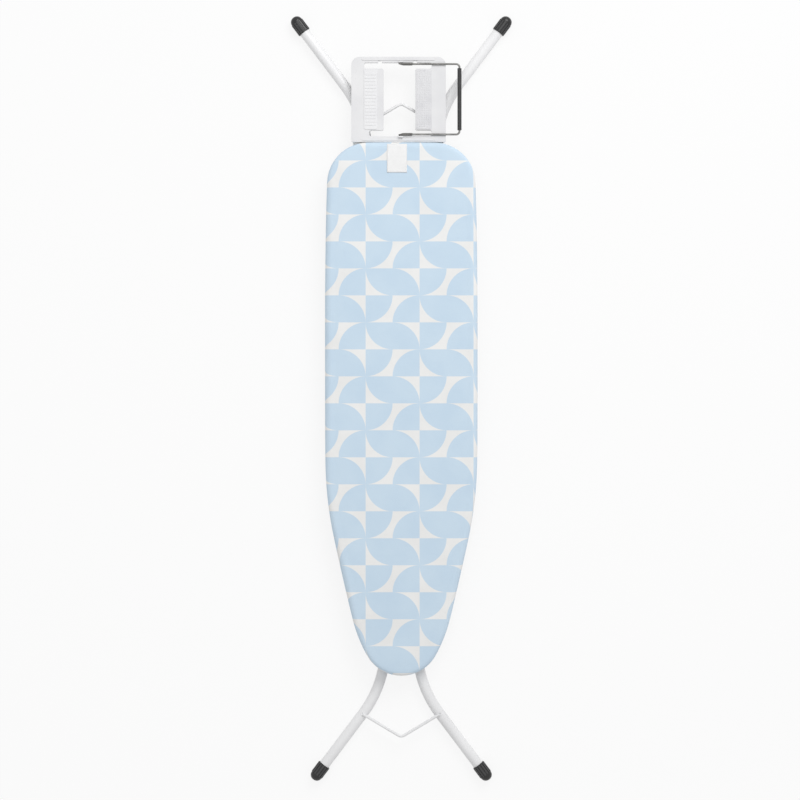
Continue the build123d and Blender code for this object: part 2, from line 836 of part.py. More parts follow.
def bail_ferrules():
    ferrules = []
    for y, outward in bail_sides():
        ferrule = along_x(ferrule_diameter / 2, ferrule_start, ferrule_end, y, bail_z)
        ferrule = fillet(ferrule.edges().filter_by(GeomType.CIRCLE), ferrule_tip_radius)
        ferrule -= along_x(bail_wire_diameter / 2 + press_gap, wire_start, ferrule_end, y, bail_z)
        ferrule -= ferrule_cut(y, outward)
        ends = (y - ferrule_diameter, y + ferrule_diameter)
        ferrules.append(ferrule - along_y(bail_pin_diameter / 2 + pin_gap, *ends, bail_pivot_x, bail_z))
    return ferrules


def bail_grip():
    middle = (bail_front_y + bail_rear_y) / 2
    ends = (middle - grip_length / 2, middle + grip_length / 2)
    grip = along_y(grip_diameter / 2, *ends, bail_reach_x, bail_z)
    grip = fillet(grip.edges().filter_by(GeomType.CIRCLE), grip_end_radius)
    return grip - along_y(bail_wire_diameter / 2 + press_gap, *ends, bail_reach_x, bail_z)


# Height latch

latch_x = rail_width / 2 + latch_gap_to_rail + latch_rod_diameter / 2
latch_z = deck_z - latch_under_deck
tooth_bottom = pivot_z + slide_bar_diameter / 2 + tooth_over_bar
step_angles = [
    lowest_angle + (fold_angle - lowest_angle) * step / (height_steps - 1) for step in range(height_steps)
]
tooth_backs = [bar_y(angle) - slide_bar_diameter / 2 - tooth_gap for angle in step_angles]
bearing_ys = (tooth_backs[0] - tooth_thickness - bearing_past_tooth, tooth_backs[-1] + bearing_past_bar)
latch_front = bearing_ys[0] - bearing_thickness
latch_back = bearing_ys[1] + latch_tail
latch_arm_y = latch_back - latch_arm_width / 2


def latch_rod():
    return along_y(latch_rod_diameter / 2, latch_front, latch_back, latch_x, latch_z)


def latch_teeth():
    teeth = []
    hub = latch_rod_diameter / 2 + latch_hub_wall
    tip = latch_x + tooth_reach
    for back in tooth_backs:
        ends = (back - tooth_thickness, back)
        tooth = along_y(hub, *ends, latch_x, latch_z)
        tooth += block((latch_x, tip), ends, (latch_z - tooth_depth / 2, latch_z + tooth_depth / 2))
        tooth += block((tip - tooth_hook, tip), ends, (tooth_bottom, latch_z))
        teeth.append(tooth - along_y(latch_rod_diameter / 2 + press_gap, *ends, latch_x, latch_z))
    return teeth


def latch_bearings():
    bearings = []
    for y in bearing_ys:
        ends = (y, y + bearing_thickness)
        bottom = latch_z - latch_rod_diameter / 2 - bearing_below_rod
        plate = block((latch_x - bearing_half_width, latch_x + bearing_half_width), ends, (bottom, deck_z))
        bearings.append(plate - along_y(latch_rod_diameter / 2 + pin_gap, *ends, latch_x, latch_z))
    return bearings


def latch_arm():
    ends = (latch_arm_y - latch_arm_width / 2, latch_arm_y + latch_arm_width / 2)
    hub = latch_rod_diameter / 2 + latch_hub_wall
    top = latch_z + hub
    arm = along_y(hub, *ends, latch_x, latch_z)
    arm += block((latch_x, latch_x + latch_arm_length), ends, (top - latch_arm_thickness, top))
    return arm - along_y(latch_rod_diameter / 2 + press_gap, *ends, latch_x, latch_z)


def latch_handle():
    hub = latch_rod_diameter / 2 + latch_hub_wall
    arm_middle = latch_z + hub - latch_arm_thickness / 2
    tip = latch_x + latch_arm_length
    start = tip - handle_overlap
    width = (latch_arm_y - handle_width / 2, latch_arm_y + handle_width / 2)
    height = (arm_middle - handle_below_arm, arm_middle + handle_above_arm)
    handle = block((start, start + handle_length), width, height)
    handle = fillet(handle.edges().filter_by(Axis.Z), handle_corner_radius)
    handle = fillet(edges_at(handle, height[0]), handle_edge_radius)
    slot_y = (latch_arm_y - latch_arm_width / 2 - press_gap, latch_arm_y + latch_arm_width / 2 + press_gap)
    slot_half = latch_arm_thickness / 2 + press_gap
    return handle - block((start, tip), slot_y, (arm_middle - slot_half, arm_middle + slot_half))


nodes = {
    "deck_plate": deck_plate(),
    "deck_rim": deck_rim(),
    "cross_rib_nose": shallow_rib(nose_rib_y),
    "cross_rib_mid": shallow_rib(mid_rib_y),
    "cross_rib_hip": shallow_rib(hip_rib_y),
    "cross_rib_rear": rear_rib(),
    "foam_pad": foam_pad(),
    "fabric_cover": fabric_cover(),
    "slide_rail": slide_rail(),
    "hinge_bracket": hinge_bracket(),
    "hinge_axle": hinge_axle(),
    "axle_clips": axle_clips(),
    "leg_clip_left": leg_clip(-1),
    "leg_clip_right": leg_clip(1),
    "latch_bearings": latch_bearings(),
    "iron_rest_tray": iron_rest_tray(),
    "ribbed_mat": ribbed_mat(),
    "dotted_mat": dotted_mat(),
    "rest_arm_left": rest_arm(left_arm_x),
    "rest_arm_right": rest_arm(right_arm_x),
    "arm_rivets": arm_rivets(),
    "tray_screws": tray_screws(),
    "bail_pins": bail_pins(),
    "bail_wire": bail_wire(),
    "bail_ferrules": bail_ferrules(),
    "bail_grip": bail_grip(),
    "latch_rod": latch_rod(),
    "latch_teeth": latch_teeth(),
    "latch_arm": latch_arm(),
    "latch_handle": latch_handle(),
    "inner_brace": inner_leg.brace(inner_brace_to_foot, inner_brace_drop),
    "inner_plugs": inner_leg.plugs(),
    "hinge_bushes": hinge_bushes(),
    "pivot_bolts": pivot_bolts(),
    "pivot_spacers": pivot_spacers(),
    "pivot_nuts": pivot_nuts(),
    "outer_brace": outer_leg.brace(outer_brace_to_foot, outer_brace_drop),
    "outer_plugs": outer_leg.plugs(),
    "slide_bar": slide_bar(),
    "guide_bushes": guide_bushes(),
    "slide_bar_caps": slide_bar_caps(),
}
for side, side_name in ((-1, "left"), (1, "right")):
    bush_hole = hinge_bush_diameter + 2 * press_gap
    bar_hole = slide_bar_diameter + 2 * press_gap
    tight_bolt_hole = bolt_diameter + 2 * press_gap
    loose_bolt_hole = bolt_diameter + 2 * pin_gap
    nodes[f"inner_tube_{side_name}"] = inner_leg.tube(side, bush_hole, tight_bolt_hole)
    nodes[f"inner_cap_{side_name}"] = inner_leg.cap(side)
    nodes[f"outer_tube_{side_name}"] = outer_leg.tube(side, bar_hole, loose_bolt_hole)
    nodes[f"outer_cap_{side_name}"] = outer_leg.cap(side)

os.makedirs("parts", exist_ok=True)
for name, shape in nodes.items():
    solids = shape if isinstance(shape, list) else [shape]
    export_step(Compound(children=[Part(solid.wrapped) for solid in solids]), f"parts/{name}.step")

print(len(nodes), "nodes, cover top at", round(cover_top, 2), "mm")
print("bar travels from", round(bar_y(0), 1), "to", round(bar_y(fold_angle), 1), "mm")
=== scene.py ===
import json
import bpy
import numpy as np
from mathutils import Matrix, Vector

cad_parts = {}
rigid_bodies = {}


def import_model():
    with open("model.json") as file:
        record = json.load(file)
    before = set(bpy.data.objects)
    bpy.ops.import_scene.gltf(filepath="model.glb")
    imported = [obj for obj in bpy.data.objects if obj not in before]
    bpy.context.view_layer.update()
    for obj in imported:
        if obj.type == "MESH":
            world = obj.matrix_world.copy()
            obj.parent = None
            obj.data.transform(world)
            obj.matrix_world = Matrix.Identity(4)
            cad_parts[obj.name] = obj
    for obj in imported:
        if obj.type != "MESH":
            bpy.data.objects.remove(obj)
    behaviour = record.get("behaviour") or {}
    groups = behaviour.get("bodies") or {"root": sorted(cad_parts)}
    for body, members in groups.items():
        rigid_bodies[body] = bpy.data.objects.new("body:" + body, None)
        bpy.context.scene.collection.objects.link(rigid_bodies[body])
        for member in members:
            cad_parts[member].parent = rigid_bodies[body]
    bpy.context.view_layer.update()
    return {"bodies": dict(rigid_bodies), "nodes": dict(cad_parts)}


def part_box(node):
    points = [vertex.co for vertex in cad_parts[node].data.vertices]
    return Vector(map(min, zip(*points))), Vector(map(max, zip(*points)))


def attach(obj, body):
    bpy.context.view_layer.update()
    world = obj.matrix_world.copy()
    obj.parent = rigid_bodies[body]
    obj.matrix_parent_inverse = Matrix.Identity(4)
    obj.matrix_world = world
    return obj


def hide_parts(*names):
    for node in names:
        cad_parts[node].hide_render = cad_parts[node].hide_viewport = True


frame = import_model()
nodes = frame["nodes"]
print("frame loaded:", len(nodes), "nodes")


class Wire:  # a shader socket with plain arithmetic, make() adds every other node
    def __init__(self, tree, out=None):
        self.tree = tree
        self.out = out

    def make(self, kind, settings=None, inputs=None, take=0):
        node = self.tree.nodes.new(kind)
        for name, value in (settings or {}).items():
            setattr(node, name, value)
        for name, value in (inputs or {}).items():
            if isinstance(value, Wire):
                self.tree.links.new(value.out, node.inputs[name])
            else:
                node.inputs[name].default_value = value
        return Wire(self.tree, node.outputs[take] if node.outputs else None)

    def maths(self, operation, first, second=0.0):
        return self.make("ShaderNodeMath", {"operation": operation}, {0: first, 1: second})

    def __add__(self, other):
        return self.maths("ADD", self, other)

    def __sub__(self, other):
        return self.maths("SUBTRACT", self, other)

    def __rsub__(self, other):
        return self.maths("SUBTRACT", other, self)

    def __mul__(self, other):
        return self.maths("MULTIPLY", self, other)

    def __truediv__(self, other):
        return self.maths("DIVIDE", self, other)

    def __mod__(self, other):
        return self.maths("FLOORED_MODULO", self, other)

    def __pow__(self, other):
        return self.maths("POWER", self, other)

    def __abs__(self):
        return self.maths("ABSOLUTE", self)

    __radd__ = __add__
    __rmul__ = __mul__

    def floor(self):
        return self.maths("FLOOR", self)

    def sine(self):
        return self.maths("SINE", self)

    def larger(self, other):
        return self.maths("MAXIMUM", self, other)

    def split(self):
        return [self.make("ShaderNodeSeparateXYZ", {}, {0: self}, axis) for axis in "XYZ"]

    def noise(self, size, detail=2.0, rough=0.5):  # size of one blot in metres
        inputs = {"Vector": self, "Scale": 1 / size, "Detail": detail, "Roughness": rough}
        return self.make("ShaderNodeTexNoise", {}, inputs)

    def stretched(self, scale):
        return self.make("ShaderNodeMapping", {}, {"Vector": self, "Scale": scale})

    def step(self, low, high):
        inputs = {"Value": self, "From Min": low, "From Max": high}
        return self.make("ShaderNodeMapRange", {"interpolation_type": "SMOOTHSTEP"}, inputs)

    def tint(self, first, second):  # first where this mask is 0, second where it is 1
        return self.make("ShaderNodeMix", {"data_type": "RGBA"}, {0: self, 6: first, 7: second}, 2)

    def bump(self, depth, under=None):  # depth of the relief in metres
        inputs = {"Height": self, "Distance": depth}
        if under is not None:
            inputs["Normal"] = under
        return self.make("ShaderNodeBump", {}, inputs)


def tone(code):  # hex colour to linear light
    parts = np.array([int(code[at:at + 2], 16) for at in (1, 3, 5)]) / 255
    light = np.where(parts <= 0.04045, parts / 12.92, ((parts + 0.055) / 1.055) ** 2.4)
    return (*light.tolist(), 1.0)


def surface(name, recipe):
    material = bpy.data.materials.new(name)
    material.use_nodes = True
    material.node_tree.nodes.clear()
    start = Wire(material.node_tree)
    where = start.make("ShaderNodeTexCoord", take="Object")
    shader = start.make("ShaderNodeBsdfPrincipled", {}, recipe(where))
    start.make("ShaderNodeOutputMaterial", {}, {"Surface": shader})
    return material


def dress(material, *names):
    for name in names:
        mesh = nodes[name].data
        mesh.materials.clear()
        mesh.materials.append(material)


# painted steel

legPaint = {
    "white": "#E9E9EA", "shade": "#E0E0E1", "rub": "#CFCFD0", "peel": 0.0009, "peelDepth": 0.00001,
    "drift": 0.09, "dust": 0.004, "scratch": 0.005,
}


def legCoat(where):
    drift = where.noise(legPaint["drift"], 3)
    peel = where.noise(legPaint["peel"], 1.5)
    dust = where.noise(legPaint["dust"], 4, 0.7).step(0.62, 0.78)
    scratch = where.stretched((1, 0.1, 1)).noise(legPaint["scratch"], 4, 0.65)
    rub = scratch.step(0.63, 0.75) * drift.step(0.45, 0.65)
    mask = drift.step(0.3, 0.75) * 0.7 + dust * 0.3
    paint = mask.tint(tone(legPaint["white"]), tone(legPaint["shade"]))
    return {
        "Base Color": (rub * 0.6).tint(paint, tone(legPaint["rub"])),
        "Roughness": drift * 0.14 + dust * 0.12 + rub * 0.1 + 0.27,
        "Normal": peel.bump(legPaint["peelDepth"]),
        "Specular IOR Level": 0.35,
    }


deckPaint = {
    "white": "#E9E9E8", "shade": "#DADAD9", "peel": 0.0020, "peelDepth": 0.00002,
    "drift": 0.12, "scratch": 0.006,
}


def deckCoat(where):
    drift = where.noise(deckPaint["drift"], 3)
    peel = where.noise(deckPaint["peel"], 2)
    rub = where.stretched((1, 0.12, 1)).noise(deckPaint["scratch"], 3, 0.6).step(0.64, 0.8)
    mask = drift.step(0.3, 0.75) * 0.6 + rub * 0.4
    return {
        "Base Color": mask.tint(tone(deckPaint["white"]), tone(deckPaint["shade"])),
        "Roughness": drift * 0.16 + rub * 0.1 + 0.36,
        "Normal": peel.bump(deckPaint["peelDepth"]),
    }


# bare metal

zincPlate = {
    "bright": "#C9C9C6", "dull": "#9D9D9C", "cloud": 0.012, "streak": 0.0009, "streakDepth": 0.000012,
}
bailSteel = {
    "bright": "#858482", "dull": "#686765", "crimp": "#535250", "cloud": 0.02,
    "drawn": 0.0006, "drawnDepth": 0.000006, "pressed": 0.0012, "pressedDepth": 0.00003,
}


def zincCoat(where):
    cloud = where.noise(zincPlate["cloud"], 3, 0.6)
    streak = where.stretched((1, 0.06, 1)).noise(zincPlate["streak"], 2)
    mask = cloud.step(0.35, 0.7) * 0.6 + streak * 0.4
    return {
        "Base Color": mask.tint(tone(zincPlate["bright"]), tone(zincPlate["dull"])),
        "Metallic": 1.0,
        "Roughness": cloud * 0.16 + streak * 0.1 + 0.22,
        "Normal": streak.bump(zincPlate["streakDepth"]),
    }


def wireSteel(where):
    drawn = where.stretched((0.05, 0.05, 1)).noise(bailSteel["drawn"], 2)
    cloud = where.noise(bailSteel["cloud"], 3)
    mask = cloud.step(0.35, 0.75) * 0.7 + drawn * 0.3
    return {
        "Base Color": mask.tint(tone(bailSteel["bright"]), tone(bailSteel["dull"])),
        "Metallic": 1.0,
        "Roughness": drawn * 0.1 + cloud * 0.08 + 0.3,
        "Normal": drawn.bump(bailSteel["drawnDepth"]),
    }


def crimpSteel(where):
    pressed = where.stretched((0.3, 1, 1)).noise(bailSteel["pressed"], 3)
    return {
        "Base Color": pressed.step(0.3, 0.75).tint(tone(bailSteel["dull"]), tone(bailSteel["crimp"])),
        "Metallic": 1.0,
        "Roughness": pressed * 0.2 + 0.26,
        "Normal": pressed.bump(bailSteel["pressedDepth"]),
    }


# moulded plastics and rubber

trayGrey = {
    "pale": "#E0E0E1", "shade": "#D8D8DA", "drift": 0.06,
    "grain": 0.0007, "grainDepth": 0.00003, "edge": 0.0004,
}
ribGrey = {"pale": "#E5E5E6", "shade": "#DFDFE1"}
matGrey = {"pale": "#D8D8DA", "shade": "#CFCFD2", "drift": 0.03, "grain": 0.0005, "grainDepth": 0.00002}
capDark = {
    "face": "#29292A", "rubbed": "#3D3D3E", "scuff": 0.006,
    "grain": 0.0006, "grainDepth": 0.00005, "edge": 0.0006,
}
footDark = {
    # the groove colour is painted shade and the ridge colour is a painted highlight, which real scuffs also
    # take
    "grooveShade": "#0F0F10", "ridge": "#353536", "scuff": 0.005,
    "inner": (0.1842, 0.797), "outer": (0.2258, 0.797), "turn": 37.0,
    "height": 0.0135, "low": 0.0128, "high": 0.0134,
}
gripDark = {"face": "#2C2C2D", "rubbed": "#3B3B3C", "worn": 0.012, "cell": 0.0011, "cellDepth": 0.00012}
nylonGrey = {"pale": "#DCDCDB", "shade": "#CDCDCC", "drift": 0.02, "grain": 0.0008, "grainDepth": 0.00003}


def trayMould(where):
    soft = where.make("ShaderNodeBevel", {"samples": 4}, {"Radius": trayGrey["edge"]})
    drift = where.noise(trayGrey["drift"], 2)
    grain = where.noise(trayGrey["grain"], 2)
    return {
        "Base Color": drift.step(0.3, 0.75).tint(tone(trayGrey["pale"]), tone(trayGrey["shade"])),
        "Roughness": drift * 0.1 + grain * 0.12 + 0.36,
        "Normal": grain.bump(trayGrey["grainDepth"], soft),
    }


def ribMould(where):  # as the tray, paler and with crisp ribs
    drift = where.noise(trayGrey["drift"], 2)
    grain = where.noise(trayGrey["grain"], 2)
    return {
        "Base Color": drift.step(0.3, 0.75).tint(tone(ribGrey["pale"]), tone(ribGrey["shade"])),
        "Roughness": drift * 0.1 + grain * 0.12 + 0.4,
        "Normal": grain.bump(trayGrey["grainDepth"]),
    }


def matMould(where):
    drift = where.noise(matGrey["drift"], 2)
    grain = where.noise(matGrey["grain"], 2)
    return {
        "Base Color": drift.step(0.3, 0.75).tint(tone(matGrey["pale"]), tone(matGrey["shade"])),
        "Roughness": drift * 0.12 + grain * 0.1 + 0.5,
        "Normal": grain.bump(matGrey["grainDepth"]),
    }


def capMould(where):
    soft = where.make("ShaderNodeBevel", {"samples": 4}, {"Radius": capDark["edge"]})
    grain = where.noise(capDark["grain"], 2)
    scuff = where.noise(capDark["scuff"], 5, 0.75).step(0.56, 0.8)
    return {
        "Base Color": scuff.tint(tone(capDark["face"]), tone(capDark["rubbed"])),
        "Roughness": scuff * 0.2 + grain * 0.1 + 0.29,
        "Normal": grain.bump(capDark["grainDepth"], soft),
    }


def footMould(tip):
    # the ridges of a foot cap are picked out by their distance from its axis: their tops get a paler
    # painted highlight and the grooves between them a darker painted shade, and scuffs also take the paler
    # colour
    def recipe(where):
        f = footDark
        x, y, z = where.split()
        turn = np.radians(f["turn"])
        across = (abs(x) - tip[0]) * float(np.cos(turn)) - (abs(y) - tip[1]) * float(np.sin(turn))
        ridge = ((across ** 2 + (z - f["height"]) ** 2) ** 0.5).step(f["low"], f["high"])
        look = capMould(where)
        scuff = where.noise(f["scuff"], 4, 0.7).step(0.5, 0.8)
        # painted highlight on the ridge tops and painted shade in the grooves, with a smaller share of real
        # scuffs
        look["Base Color"] = (ridge * 0.8 + scuff * 0.2).tint(tone(f["grooveShade"]), tone(f["ridge"]))
        return look

    return recipe


def gripFoam(where):
    cell = where.make("ShaderNodeTexVoronoi", {}, {"Vector": where, "Scale": 1 / gripDark["cell"]})
    worn = where.noise(gripDark["worn"], 3).step(0.45, 0.8)
    return {
        "Base Color": worn.tint(tone(gripDark["face"]), tone(gripDark["rubbed"])),
        "Roughness": worn * 0.1 + cell * 0.2 + 0.55,
        "Normal": cell.bump(gripDark["cellDepth"]),
    }


def nylonMould(where):
    drift = where.noise(nylonGrey["drift"], 2)
    grain = where.noise(nylonGrey["grain"], 2)
    return {
        "Base Color": drift.tint(tone(nylonGrey["pale"]), tone(nylonGrey["shade"])),
        "Roughness": grain * 0.15 + 0.38,
        "Normal": grain.bump(nylonGrey["grainDepth"]),
        "Subsurface Weight": 0.05,
    }


tubeWhite = surface("tubeWhite", legCoat)
deckWhite = surface("deckWhite", deckCoat)
zincSteel = surface("zincSteel", zincCoat)
drawnSteel = surface("drawnSteel", wireSteel)
crimpedSteel = surface("crimpedSteel", crimpSteel)
trayPlastic = surface("trayPlastic", trayMould)
ribPlastic = surface("ribPlastic", ribMould)
matSilicone = surface("matSilicone", matMould)
capPlastic = surface("capPlastic", capMould)
innerFoot = surface("innerFoot", footMould(footDark["inner"]))
outerFoot = surface("outerFoot", footMould(footDark["outer"]))
gripRubber = surface("gripRubber", gripFoam)
nylonPale = surface("nylonPale", nylonMould)

dress(tubeWhite, "inner_tube_left", "inner_tube_right", "inner_brace")
dress(tubeWhite, "outer_tube_left", "outer_tube_right", "outer_brace")
dress(deckWhite, "deck_plate", "deck_rim", "slide_rail", "hinge_bracket", "latch_bearings")
dress(deckWhite, "cross_rib_nose", "cross_rib_mid", "cross_rib_hip", "cross_rib_rear")
dress(deckWhite, "rest_arm_left", "rest_arm_right")
dress(zincSteel, "hinge_axle", "axle_clips", "arm_rivets", "tray_screws", "bail_pins")
dress(zincSteel, "pivot_bolts", "pivot_nuts", "slide_bar", "latch_rod", "latch_teeth", "latch_arm")
dress(drawnSteel, "bail_wire")
dress(crimpedSteel, "bail_ferrules")
dress(trayPlastic, "iron_rest_tray")
dress(ribPlastic, "ribbed_mat")
dress(matSilicone, "dotted_mat")
dress(innerFoot, "inner_cap_left", "inner_cap_right")
dress(outerFoot, "outer_cap_left", "outer_cap_right")
dress(capPlastic, "inner_plugs", "outer_plugs", "slide_bar_caps", "latch_handle")
dress(gripRubber, "bail_grip")
dress(nylonPale, "leg_clip_left", "leg_clip_right", "hinge_bushes", "guide_bushes", "pivot_spacers")
print("rigid pieces painted")


# printed cotton, foam and woven tape

coverPrint = {
    "blue": "#CADCEA", "blueDeep": "#C1D5E6", "ground": "#EDEDEC", "groundDeep": "#E4E4E3",
    "tile": 0.056, "disc": 1.0, "bleed": 0.007, "shiftX": 0.018, "shiftY": 0.010,
    "wander": 0.0022, "cloud": 0.07, "slub": 0.0012, "thread": 0.0011, "threadDepth": 0.00010,
}
foamCream = {"pale": "#EFEDE4", "shade": "#E2DFD3", "cloud": 0.05, "cell": 0.0016, "cellDepth": 0.0003}
tapeCloth = {
    "pale": "#F2F2F2", "shade": "#DEDEDE", "cloud": 0.01, "thread": 0.0009, "rib": 0.0013, "depth": 0.00008,
}


def clothWeave(across, along, pitch):
    # over and under of warp and weft: the product of two sines
    warp = (across * (2 * np.pi / pitch)).sine()
    weft = (along * (2 * np.pi / pitch)).sine()
    return warp * weft * 0.5 + 0.5


def cottonPrint(where):
    flat = where.make("ShaderNodeUVMap", {"uv_map": "flatCut"})
    across, along, _ = flat.split()
    across = across + coverPrint["shiftX"]
    along = along + coverPrint["shiftY"]
    column = (across / coverPrint["tile"]).floor()
    row = (along / coverPrint["tile"]).floor()
    inX = across / coverPrint["tile"] - column
    inY = along / coverPrint["tile"] - row
    cornerX = ((column / 2).floor() + row) % 2  # which corner of its tile each quarter disc is drawn from
    cornerY = column % 2
    wander = flat.noise(coverPrint["wander"], 2) - 0.5
    reach = ((inX - cornerX) ** 2 + (inY - cornerY) ** 2) ** 0.5 + wander * 0.02
    rim, bleed = coverPrint["disc"], coverPrint["bleed"]
    printed = 1 - reach.step(rim - bleed, rim + bleed)
    cloud = flat.noise(coverPrint["cloud"], 3).step(0.3, 0.72)
    weftSlubs = flat.stretched((0.06, 1, 1)).noise(coverPrint["slub"], 2)
    warpSlubs = flat.stretched((1, 0.06, 1)).noise(coverPrint["slub"], 2)
    slubs = weftSlubs.larger(warpSlubs)
    weave = clothWeave(across, along, coverPrint["thread"])
    mask = cloud * 0.55 + slubs * 0.3 + weave * 0.15
    blue = mask.tint(tone(coverPrint["blue"]), tone(coverPrint["blueDeep"]))
    ground = mask.tint(tone(coverPrint["ground"]), tone(coverPrint["groundDeep"]))
    relief = weave * 0.7 + slubs * 0.5
    return {
        "Base Color": printed.tint(ground, blue),
        "Roughness": 0.9 - weave * 0.08,
        "Normal": relief.bump(coverPrint["threadDepth"]),
        "Sheen Weight": 0.12,
        "Sheen Roughness": 0.5,
        "Specular IOR Level": 0.25,
    }


def foamCells(where):
    cell = where.make("ShaderNodeTexVoronoi", {}, {"Vector": where, "Scale": 1 / foamCream["cell"]})
    cloud = where.noise(foamCream["cloud"], 3)
    return {
        "Base Color": cloud.step(0.3, 0.7).tint(tone(foamCream["pale"]), tone(foamCream["shade"])),
        "Roughness": 0.95 - cell * 0.1,
        "Normal": cell.bump(foamCream["cellDepth"]),
        "Specular IOR Level": 0.2,
    }


def wovenTape(where):
    across, along, _ = where.split()
    weave = clothWeave(across, along, tapeCloth["thread"])
    rib = (along * (2 * np.pi / tapeCloth["rib"])).sine() * 0.5 + 0.5
    cloud = where.noise(tapeCloth["cloud"], 3)
    mask = cloud * 0.5 + weave * 0.5
    return {
        "Base Color": mask.tint(tone(tapeCloth["pale"]), tone(tapeCloth["shade"])),
        "Roughness": 0.75 - rib * 0.15,
        "Normal": (weave * 0.6 + rib * 0.4).bump(tapeCloth["depth"]),
        "Sheen Weight": 0.2,
    }


coverCotton = surface("coverCotton", cottonPrint)
padFoam = surface("padFoam", foamCells)
tapeWhite = surface("tapeWhite", wovenTape)
print("cloth materials ready")


def newPiece(name, points, faces, material, body):
    mesh = bpy.data.meshes.new(name)
    mesh.from_pydata(points.reshape(-1, 3).tolist(), [], faces)
    mesh.polygons.foreach_set("use_smooth", np.ones(len(mesh.polygons), bool))
    mesh.materials.append(material)
    piece = bpy.data.objects.new(name, mesh)
    bpy.context.scene.collection.objects.link(piece)
    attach(piece, body)
    return piece


def gridFaces(rows, columns, closed):
    # quads between neighbouring rows of a grid, the last column joined to the first when closed
    row, column = np.mgrid[0:rows - 1, 0:columns if closed else columns - 1]
    after = (column + 1) % columns
    here, there = row * columns, (row + 1) * columns
    return np.stack([here + column, here + after, there + after, there + column], -1).reshape(-1, 4)


def placed(shape, centres, turns):
    # copies of one small shape, each turned about Z and moved to its centre
    c, s = np.cos(turns)[:, None], np.sin(turns)[:, None]
    x = shape[None, :, 0] * c - shape[None, :, 1] * s
    y = shape[None, :, 0] * s + shape[None, :, 1] * c
    z = np.broadcast_to(shape[None, :, 2], x.shape)
    return np.stack([x, y, z], -1) + centres[:, None, :]


def copiedFaces(faces, size, count):
    # faces of one small shape for each copy, numbered on by its count of points
    return (faces[None] + (np.arange(count) * size)[:, None, None]).reshape(-1, faces.shape[1])


stitchGrid = {"rings": 5, "sides": 6}


def stitchShape(length, thread, up):
    # capsule of thread along X: rings of points that shrink and sink into the cloth at both ends
    steps = np.linspace(-1, 1, stitchGrid["rings"])
    turns = np.linspace(0, 2 * np.pi, stitchGrid["sides"] + 1)[:-1]
    along, around = np.meshgrid(steps, turns, indexing="ij")
    radius = thread * np.sqrt(np.clip(1 - along ** 4, 0.05, 1))
    sink = up * thread * 0.9 * along ** 2
    shape = np.stack([along * length / 2, radius * np.cos(around), radius * np.sin(around) - sink], -1)
    return shape.reshape(-1, 3)


def stitchFaces(count):
    rings, sides = stitchGrid["rings"], stitchGrid["sides"]
    return copiedFaces(gridFaces(rings, sides, True), rings * sides, count).tolist()


# outline of the ironing surface

boardShape = {
    "width": 0.315, "rear": 0.532, "nose": -0.576, "rearCorner": 0.085, "bow": 12.8, "flare": 1.34,
    "shoulder": 0.74, "taper": 12.9, "flank": 0.30, "noseTurn": 29.4, "noseTip": 0.0814,
    "tightBend": 9.0, "samples": 40001, "blur": 2001,
}


def boardLoop(count, crowd=0.0):
    # the edge's normal turns by known angles over known lengths; summing its direction gives the outline,
    # and points crowd together where the edge bends
    b = boardShape
    flare, taper, turn = np.radians([b["flare"], b["taper"], b["noseTurn"]])
    rearFlat = b["width"] / 2 - b["bow"] * (1 - np.cos(flare)) - b["rearCorner"] * np.cos(flare)
    taperWide = b["width"] / 2 - b["shoulder"] * (1 - np.cos(taper))
    noseWide = b["flank"] * (np.cos(taper) - np.cos(turn)) + b["noseTip"] * np.cos(turn)
    taperRun = (taperWide - noseWide) / np.sin(taper)
    curved = b["rearCorner"] * (1 - np.sin(flare)) + b["bow"] * np.sin(flare)
    curved += b["shoulder"] * np.sin(taper) + taperRun * np.cos(taper)
    curved += b["flank"] * (np.sin(turn) - np.sin(taper)) + b["noseTip"] * (1 - np.sin(turn))
    lengths = [
        rearFlat, b["rearCorner"] * (np.pi / 2 - flare), b["bow"] * flare, b["rear"] - b["nose"] - curved,
        b["shoulder"] * taper, taperRun, b["flank"] * (turn - taper), b["noseTip"] * (np.pi / 2 - turn),
    ]
    angles = [np.pi / 2, np.pi / 2, flare, 0, 0, -taper, -taper, -turn, -np.pi / 2]
    knots = np.concatenate([[0], np.cumsum(lengths)])
    fine = np.linspace(0, knots[-1], b["samples"])
    angle = np.interp(fine, knots, angles)
    middle = (angle[1:] + angle[:-1]) / 2
    x = np.concatenate([[0], np.cumsum(np.sin(middle)) * fine[1]])
    y = b["rear"] - np.concatenate([[0], np.cumsum(np.cos(middle)) * fine[1]])
    tight = np.abs(np.gradient(angle, fine)) / b["tightBend"]
    blur = np.ones(b["blur"]) / b["blur"]
    tight = np.convolve(np.pad(np.clip(tight, 0, 1), b["blur"] // 2, "reflect"), blur, "valid")
    pace = np.concatenate([[0], np.cumsum(1 + crowd * tight[1:])])
    stops = np.interp(np.linspace(0, pace[-1], count // 2 + 1), pace, fine)
    x, y, angle, tight = [np.interp(stops, fine, values) for values in (x, y, angle, tight)]
    back = slice(-2, 0, -1)
    edge = np.stack([np.concatenate([x, -x[back]]), np.concatenate([y, y[back]])], -1)
    normal = np.stack([np.cos(angle), np.sin(angle)], -1)
    normal = np.concatenate([normal, normal[back] * [-1, 1]])
    place = np.concatenate([stops, 2 * knots[-1] - stops[back]])
    return edge, normal, place, np.concatenate([tight, tight[back]])


def onBoard(edge, normal, spine, inset, height, share):
    # one ring: the outline moved in by its inset, then drawn a share of the way to the spine
    ring = edge - normal * np.broadcast_to(inset, (len(edge),))[:, None]
    ring = ring * (1 - share) + spine * share
    return np.concatenate([ring, np.broadcast_to(height, (len(edge),))[:, None]], -1)


def spineOf(edge, margin):
    # the point of the middle line level with each edge point, kept a margin from both ends
    b = boardShape
    along = np.clip(edge[:, 1], b["nose"] + margin, b["rear"] - margin)
    return np.stack([np.zeros(len(edge)), along], -1)


